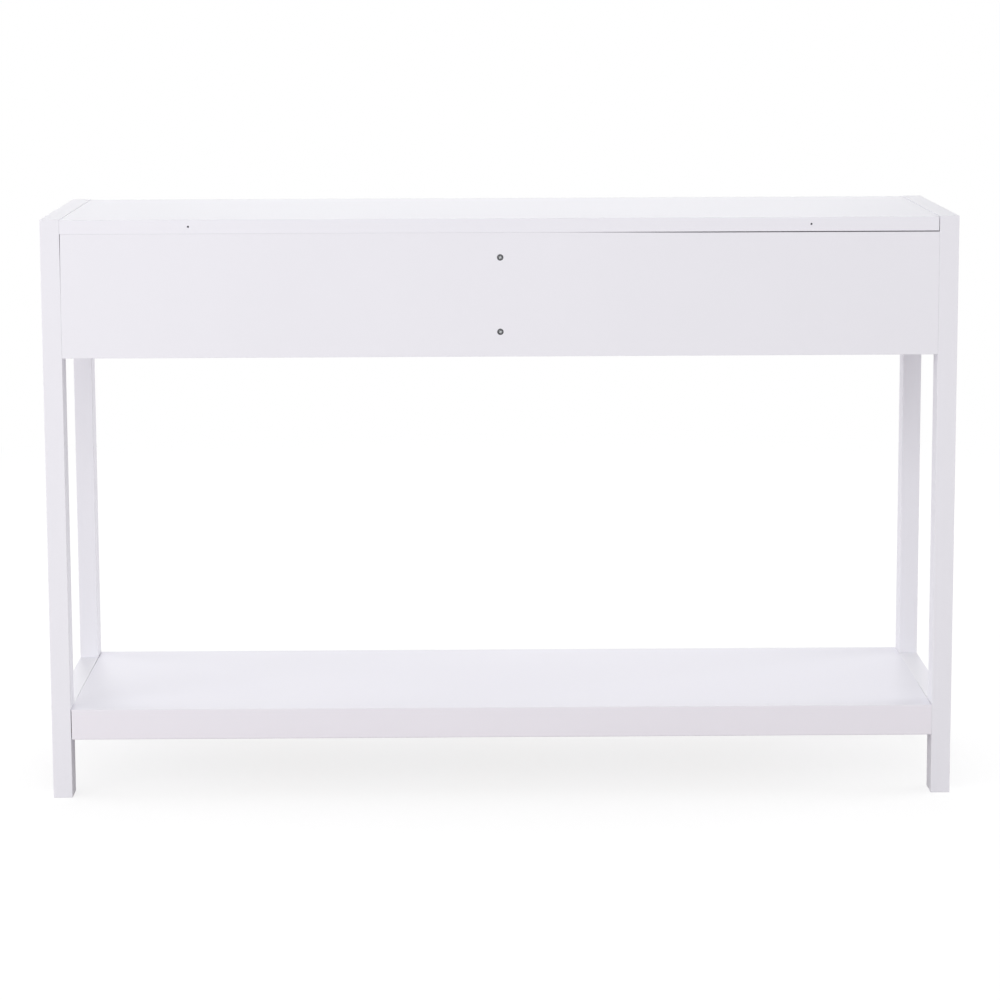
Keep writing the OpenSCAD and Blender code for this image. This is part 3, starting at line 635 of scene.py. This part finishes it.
def carried_along_x(name, section, low_x, high_x, ease, material, shape=None):
    """A closed section in Y and Z, counted anticlockwise as seen from +X, carried along X.

    At each end it is drawn in by the ease over a quarter round: every point moves towards the middle
    of the section by ease * (1 - cos a) while X moves out by ease * sin a.
    """
    section = np.array(section, float)
    inward = np.sign((section.min(0) + section.max(0)) / 2 - section)
    arc = np.linspace(0, np.pi / 2, 4)
    short = ease * (1 - np.sin(arc))
    draw = ease * (1 - np.cos(arc))
    x = np.concatenate([low_x + short[::-1], high_x - short])
    points = np.zeros((len(x), len(section), 3))
    points[..., 0] = x[:, None]
    points[..., 1:] = section + inward * np.concatenate([draw[::-1], draw])[:, None, None]
    if shape:
        shape(points)
    return flat_faced(link_mesh(name, points, capped_faces(*points.shape[:2]), material))


def fit_lip(node, outer, inward, gap):
    """One lip under the shelf's edge at y = outer, which stops a gap short of the +X end.

    Its section goes down the outer face, from one quarter round of the fold's radius to another, then
    in along the bottom and up the inner face to the mitre.
    """
    low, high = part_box(node)
    arc = np.linspace(0, np.pi / 2, 5)
    short, long = fold * (1 - np.sin(arc)), fold * (1 - np.cos(arc))
    y = outer + inward * np.concatenate([short, long, [shelf_thick, shelf_thick]])
    z = np.concatenate([high[2] - long, low[2] + short, [low[2], high[2] - shelf_thick]])
    section = np.stack([y, z], -1)[::inward]
    stand_for(node, carried_along_x(f"{node}_board", section, low[0], high[0] - gap, lip_arris, lip_painted_bounce_lacquer),
              "frame")


fit_lip("shelf_rear_lip", shelf_high[1], -1, lip_gap)
fit_lip("shelf_front_lip", shelf_low[1], 1, 0.0)

left_seam = 0.9 * MM
right_seam = 0.45 * MM
seam_start = 30 * MM
seam_run = 60 * MM


def open_seam(points):
    """Draws both ends in: the +X end most at the front, and the -X end only in its rear half."""
    to_front = np.clip((shelf_high[1] - points[..., 1]) / (shelf_high[1] - shelf_low[1]), 0, 1)
    to_rear = np.clip((points[..., 1] - seam_start) / seam_run, 0, 1)
    points[..., 0] += np.where(points[..., 0] > 0, -left_seam * to_front, right_seam * to_rear)


# The section goes along the underside between the mitres, and back along the top between the folds.
share = np.linspace(0, 1, 13)
under_y = shelf_low[1] + shelf_thick + (shelf_high[1] - shelf_low[1] - 2 * shelf_thick) * share
over_y = shelf_high[1] - fold - (shelf_high[1] - shelf_low[1] - 2 * fold) * share
shelf_section = [(y, shelf_low[2]) for y in under_y] + [(y, shelf_high[2]) for y in over_y]
shelf = carried_along_x("shelf_board_board", shelf_section, shelf_low[0], shelf_high[0], shelf_arris,
                        shelf_lacquer, open_seam)
cut_out(shelf, cam_pockets(shelf_low, shelf_high, (shelf_low[1] + cam_edge, shelf_high[1] - cam_edge)))
stand_for("shelf_board", flat_faced(shelf), "frame")

# Wood seen through its own grain: long rings that wander, with darker late wood and fine pores.
grain, grain_in, grain_out = finish_group(
    "grain",
    {"Colour": ("Color", (0.7, 0.5, 0.3, 1)), "Dark colour": ("Color", (0.5, 0.33, 0.18, 1)),
     "Stretch": ("Vector", (1, 1, 1)), "Ring scale": ("Float", 60.0), "Roughness": ("Float", 0.6)})
pore_scale = 900.0
pore_roughness = 0.12
wood_place = add_node(grain, "TexCoord").outputs["Object"]
sawn = add_node(grain, "VectorMath", {0: wood_place, 1: grain_in["Stretch"]}, operation="MULTIPLY").outputs[0]
rings = ranged(grain, noise(grain, sawn, grain_in["Ring scale"], 3.0, distortion=0.6), (0.35, 0.65))
pores = noise(grain, sawn, pore_scale, 2.0)
grain.links.new(mixed(grain, rings, grain_in["Colour"], grain_in["Dark colour"]), grain_out["Colour"])
wood_dull = maths(grain, "MULTIPLY_ADD", pores, pore_roughness, grain_in["Roughness"], clamp=True)
grain.links.new(wood_dull, grain_out["Roughness"])
grain.links.new(pores, grain_out["Height"])


def timber(name, colour, late, stretch, ring_scale, roughness, bump, distance):
    """Bare wood of a colour with darker late wood, its rings drawn out along the axis of small stretch."""
    return grouped_material(
        name, grain,
        {"Colour": (*colour, 1), "Dark colour": (*late, 1), "Stretch": stretch, "Ring scale": ring_scale,
         "Roughness": roughness},
        bump=bump, distance=distance, sockets={"IOR": 1.45})


pine = timber("planed_pine", (0.68, 0.51, 0.31), (0.50, 0.33, 0.17), (1, 0.06, 1), 90.0, 0.55,
              bump=0.25, distance=0.3 * MM)
batten_low, batten_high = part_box("shelf_battens")
batten_step = 280 * MM
batten_width = 40 * MM
batten_arris = MM
for number, x in enumerate((-batten_step, 0.0, batten_step), 1):
    low = (x - batten_width / 2, batten_low[1], batten_low[2])
    high = (x + batten_width / 2, batten_high[1], batten_high[2])
    batten = link_mesh(f"shelf_batten_{number}", *eased_board(low, high, batten_arris, 1), pine)
    board_normals(batten, low, high, batten_arris)
    stand_for("shelf_battens", batten, "frame")


# ---- Dowels, cam bolts and cam locks ----
# Beech dowels and zinc cam bolts are buried in the joints. The cam locks' slotted faces show on the
# undersides and inner faces. They keep their true shapes from the frame.

def finish_nodes(material, *nodes):
    """Gives CAD nodes that stay in view a material of their own."""
    for node in nodes:
        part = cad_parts[node]
        part.data.materials.clear()
        part.data.materials.append(material)


beech = timber("turned_beech", (0.66, 0.47, 0.29), (0.55, 0.37, 0.21), (0.2, 0.2, 0.2), 500.0, 0.6,
               bump=0.2, distance=0.2 * MM)
zinc = plated_metal("bright_zinc", (0.62, 0.63, 0.66), (0.48, 0.49, 0.53), 0.32, patch_scale=180.0)
finish_nodes(beech, "frame_dowels")
finish_nodes(zinc, "frame_cam_bolts", "frame_cam_locks")


# ---- Slides ----
# Two telescopic slides a drawer: three channels roll-formed from zinc-plated sheet, one inside the
# other, with two pressed cages of bearing balls between them. Low pan-head screws fix the outer
# channel to the wall of the bay and the inner one to the drawer's side.

slide_zinc = plated_metal("slide_zinc", (0.60, 0.61, 0.63), (0.55, 0.56, 0.585), 0.30, stretch=(1, 0.03, 1))
ball_steel = plated_metal("ball_steel", (0.70, 0.70, 0.71), (0.62, 0.62, 0.63), 0.15, patch_scale=300.0)
rail_sheet = 1.2 * MM
rail_bend = 1.4 * MM


def folded_channel(low, high, way, sheet, bend):
    """Points and faces of a channel folded from sheet to fill a box, its flanges pointing one way in X.

    A path in X and Z runs in along one flange, round a bend, along the web and out along the other
    flange. The section's points lie half the sheet's thickness to either side of it, and the section
    is carried along Y.
    """
    depth, half = high[0] - low[0], (high[2] - low[2] - sheet) / 2
    web_x = low[0] if way > 0 else high[0]
    arc = np.linspace(0, np.pi / 2, 6)
    radius = bend - sheet / 2
    path = np.stack([np.append(depth, sheet / 2 + radius * (1 - np.sin(arc))),
                     np.append(half, half - radius * (1 - np.cos(arc)))], -1)
    outward = np.stack([np.append(0, -np.sin(arc)), np.append(1, np.cos(arc))], -1)
    mirror = np.array([1, -1])
    path = np.concatenate([path, (path * mirror)[::-1]])
    outward = np.concatenate([outward, (outward * mirror)[::-1]]) * sheet / 2
    section = np.concatenate([path + outward, (path - outward)[::-1]])
    columns = len(section)
    points = np.zeros((2, columns, 3))
    points[..., 0] = web_x + way * section[:, 0]
    points[..., 1] = np.array([[low[1]], [high[1]]])
    points[..., 2] = (low[2] + high[2]) / 2 + section[:, 1]
    strip = np.arange(columns // 2 - 1)
    end = np.stack([strip, strip + 1, columns - 2 - strip, columns - 1 - strip], -1)
    faces = np.concatenate([grid_faces(2, columns), end[:, ::-1], end + columns])
    return points.reshape(-1, 3), faces[:, ::-1] if way > 0 else faces


def fit_channel(node, body, way):
    """A folded channel in a CAD node's place, with its flanges pointing one way in X."""
    points, faces = folded_channel(*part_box(node), way, rail_sheet, rail_bend)
    channel = flat_faced(link_mesh(f"{node}_channel", points, faces, slide_zinc))
    stand_for(node, channel, body)


ball_radius = 1.2 * MM
ball_step = 26 * MM
balls_in_row = 5
cage_sheet = 0.5 * MM
cage_bend = 0.8 * MM
cage_lip = 2.0 * MM
hole_radius = 1.35 * MM


def fit_ball_strips(node, body, ball_xs):
    """The two strips of a bay, each a pressed cage with holes, and the balls that sit in them.

    A ball's point is its centre + radius * (cos a cos b, cos a sin b, sin a), with a from pole to pole
    and b round it.
    """
    low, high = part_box(node)
    centre = (low[2] + high[2]) / 2
    row = (high[2] - low[2]) / 2 - ball_radius
    bottom, top = centre - row - cage_sheet / 2, centre + row + cage_sheet / 2
    spans = ((low[0], ball_xs[0] + cage_lip, 1), (ball_xs[1] - cage_lip, high[0], -1))
    (points, faces), (more_points, more_faces) = (
        folded_channel((start, low[1], bottom), (end, high[1], top), way, cage_sheet, cage_bend)
        for start, end, way in spans)
    cage = link_mesh(f"{node}_cages", np.concatenate([points, more_points]),
                     np.concatenate([faces, len(points) + more_faces]), slide_zinc)
    ball_ys = low[1] + 2 * ball_radius + ball_step * np.arange(balls_in_row)
    cut_out(cage, [round_pocket((x, y, centre + row), (0, 0, -1), hole_radius, 2 * row + MM)
                   for x in ball_xs for y in ball_ys])
    stand_for(node, flat_faced(cage), body)

    a, b = np.linspace(-np.pi / 2, np.pi / 2, 13)[:, None], np.arange(24) * np.pi / 12
    ball = np.stack(np.broadcast_arrays(np.cos(a) * np.cos(b), np.cos(a) * np.sin(b), np.sin(a)), -1)
    centres = np.array([(x, y, z) for x in ball_xs for y in ball_ys for z in (centre - row, centre + row)])
    rows, sides = ball.shape[:2]
    faces = np.concatenate([grid_faces(rows, sides, number * rows * sides) for number in range(len(centres))])
    balls = link_mesh(f"{node}_balls", centres[:, None, None] + ball_radius * ball, faces, ball_steel)
    stand_for(node, balls, body)


pan_radius = 3.5 * MM
pan_height = 1.4 * MM
pan_crown = 0.35 * MM
pan_shank_radius = 1.75 * MM
pan_length = 9 * MM
pan_tip = 0.2 * MM
pan_head = [*domed(0.93 * pan_radius, pan_height, pan_crown, 15), (pan_radius, pan_height / 2),
            (pan_radius, pan_height / 4), (0.97 * pan_radius, 0)]
pan_shank = [(pan_shank_radius, 0), (pan_shank_radius, pan_shank_radius - pan_length), (pan_tip, -pan_length)]
pan_cross = (0.5 * MM, 2.1 * MM, 0.9 * MM)
wall_screw_ends = (60 * MM, 60 * MM)
drawer_screw_ends = (90 * MM, 40 * MM)


def web_spots(node, way, ends):
    """Spots for two screws through a channel's web, that far from its front and rear ends."""
    low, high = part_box(node)
    x = low[0] + rail_sheet if way > 0 else high[0] - rail_sheet
    return [((x, y, (low[2] + high[2]) / 2), (way, 0, 0), turn)
            for y, turn in ((low[1] + ends[0], 17), (high[1] - ends[1], 58))]


wall_spots = []
for bay in ("left", "right"):
    drawer_spots, outer_xs, inner_xs = [], [], []
    for hand, way in (("left", 1), ("right", -1)):
        wall_rail = f"{bay}_bay_{hand}_cabinet_rail"
        middle_rail = f"{bay}_bay_{hand}_middle_rail"
        drawer_rail = f"{bay}_drawer_{hand}_rail"
        fit_channel(wall_rail, "frame", way)
        fit_channel(middle_rail, f"{bay}_middle_rails", way)
        fit_channel(drawer_rail, f"{bay}_drawer", -way)
        wall_spots += web_spots(wall_rail, way, wall_screw_ends)
        drawer_spots += web_spots(drawer_rail, -way, drawer_screw_ends)
        (middle_low, _, _), (middle_high, _, _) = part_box(middle_rail)
        (drawer_low, _, _), (drawer_high, _, _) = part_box(drawer_rail)
        outer_xs.append((middle_low + middle_high) / 2)
        inner_xs.append((middle_high + drawer_low if way > 0 else middle_low + drawer_high) / 2)
    cross_screws(f"{bay}_drawer_rail_screws", f"{bay}_drawer", drawer_spots,
                 pan_head, pan_shank, pan_cross, zinc)
    fit_ball_strips(f"{bay}_bay_outer_ball_strips", f"{bay}_outer_balls", outer_xs)
    fit_ball_strips(f"{bay}_bay_inner_ball_strips", f"{bay}_inner_balls", inner_xs)
cross_screws("cabinet_rail_screws", "frame", wall_spots, pan_head, pan_shank, pan_cross, zinc)


# ---- Drawers ----
# A lacquered 18 mm front on a box of 12 mm foiled board, with a white hardboard bottom in grooves.
# Cam locks and dowels hold the sides to the front.

front_lacquer = lacquer("front_lacquer", (0.83, 0.82, 0.86), (0.79, 0.78, 0.81))
foil = grouped_material(
    "white_foil", coating,
    {"Colour": (0.82, 0.815, 0.838, 1), "Thin colour": (0.76, 0.75, 0.755, 1), "Cloud": 0.008,
     "Cloud scale": 14.0, "Skin scale": 700.0, "Roughness": 0.5, "Roughness change": 0.06},
    bump=0.08, distance=0.2 * MM, sockets={"IOR": 1.45})
painted_hardboard = grouped_material(
    "painted_hardboard", coating,
    {"Colour": (0.795, 0.783, 0.805, 1), "Thin colour": (0.45, 0.33, 0.22, 1), "Cloud": 0.02,
     "Cloud scale": 30.0, "Skin scale": 420.0, "Roughness": 0.62, "Roughness change": 0.1},
    bump=0.2, distance=0.3 * MM, sockets={"IOR": 1.45})
drawer_arris = 1.0 * MM
back_arris = 0.6 * MM
bottom_arris = 0.4 * MM
box_cam_in = 24 * MM
box_cam_depth = 9.6 * MM
for bay in ("left", "right"):
    body = f"{bay}_drawer"
    fit_board(f"{bay}_drawer_front", 0, front_lacquer, drawer_arris, body=body)
    for hand, way in (("left", 1), ("right", -1)):
        node = f"{bay}_drawer_{hand}_side"
        low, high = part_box(node)
        cam_place = (high[0] if way > 0 else low[0], low[1] + box_cam_in, (low[2] + high[2]) / 2)
        pocket = round_pocket(cam_place, (-way, 0, 0), cam_radius, box_cam_depth)
        fit_board(node, 1, foil, drawer_arris, body=body, tools=[pocket])
    fit_board(f"{bay}_drawer_back", 0, foil, back_arris, body=body)
    fit_board(f"{bay}_drawer_bottom", 0, painted_hardboard, bottom_arris, body=body)
    finish_nodes(beech, f"{bay}_drawer_dowels")
    finish_nodes(zinc, f"{bay}_drawer_cam_bolts", f"{bay}_drawer_cam_locks")


# ---- Knobs ----
# A turned knob on the middle of each front, brushed and nickel plated, with a foot, a slim neck and
# a flattened cap. A machine screw from inside the drawer holds it.

nickel = plated_metal("brushed_nickel", (0.56, 0.535, 0.51), (0.50, 0.475, 0.45), 0.27, patch_scale=120.0,
                      change=0.08, bump=0.02)
foot_radius = 9 * MM
foot_height = 3 * MM
foot_round = 0.4 * MM
foot_shoulder = 0.5 * MM
neck_radius = 6.5 * MM
neck_start = 8.4 * MM
cap_height = 7 * MM
rim_round = 2 * MM


def knob_outline(reach, cap_radius):
    """Foot, hollow neck and cap as (radius, distance) from the front out, each joined by a smooth curve.

    With s from 0 to 1 up the neck, its radius is the slimmest, plus (1 - s) cubed of what it has more
    at the foot, plus s to the fourth of what it has more at the cap. The cap's rim is a quarter round
    below, and above it the radius falls as a power of the cosine while the distance grows as the sine.
    """
    under, rim = reach - cap_height, reach - cap_height + rim_round
    foot = [(foot_radius - foot_round, 0), (foot_radius, foot_round),
            (foot_radius, foot_height - foot_shoulder), (foot_radius - foot_shoulder, foot_height)]
    s = np.linspace(0, 1, 14)
    neck = np.stack([neck_radius + (neck_start - neck_radius) * (1 - s) ** 3
                     + (cap_radius - rim_round - neck_radius) * s ** 4,
                     foot_height + (under - foot_height) * s], -1)
    a = np.linspace(-np.pi / 2, 0, 7)[1:]
    quarter = np.stack([cap_radius - rim_round * (1 - np.cos(a)), under + rim_round * (1 + np.sin(a))], -1)
    a = np.linspace(0, np.pi / 2, 12)[1:]
    cap = np.stack([cap_radius * np.cos(a) ** 0.6, rim + (reach - rim) * np.sin(a)], -1)
    return np.concatenate([foot, neck, quarter, cap])


truss_radius = 4 * MM
truss_height = 2.4 * MM
truss_crown = 0.9 * MM
machine_radius = 2 * MM
machine_bite = 10 * MM
machine_chamfer = 0.3 * MM
truss_head = [*domed(0.9 * truss_radius, truss_height, truss_crown, 17),
              (0.97 * truss_radius, 0.4 * truss_height), (truss_radius, 0.15 * truss_height),
              (truss_radius, 0)]
truss_cross = (0.6 * MM, 2.6 * MM, 1.3 * MM)
for bay in ("left", "right"):
    body = f"{bay}_drawer"
    low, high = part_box(f"{bay}_drawer_knob")
    middle_x, middle_z = (low[0] + high[0]) / 2, (low[2] + high[2]) / 2
    knob = turned(f"{bay}_drawer_knob_turned", knob_outline(high[1] - low[1], (high[0] - low[0]) / 2),
                  (middle_x, high[1], middle_z), (0, -1, 0), nickel, sides=64)
    stand_for(f"{bay}_drawer_knob", knob, body)
    inner_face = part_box(f"{bay}_drawer_front")[1][1]
    tip = high[1] - machine_bite - inner_face
    cross_screws(f"{bay}_drawer_knob_screw", body, [((middle_x, inner_face, middle_z), (0, 1, 0), 33)],
                 truss_head, [(machine_radius, 0), (machine_radius, tip + machine_chamfer),
                              (machine_radius - machine_chamfer, tip)], truss_cross, zinc)
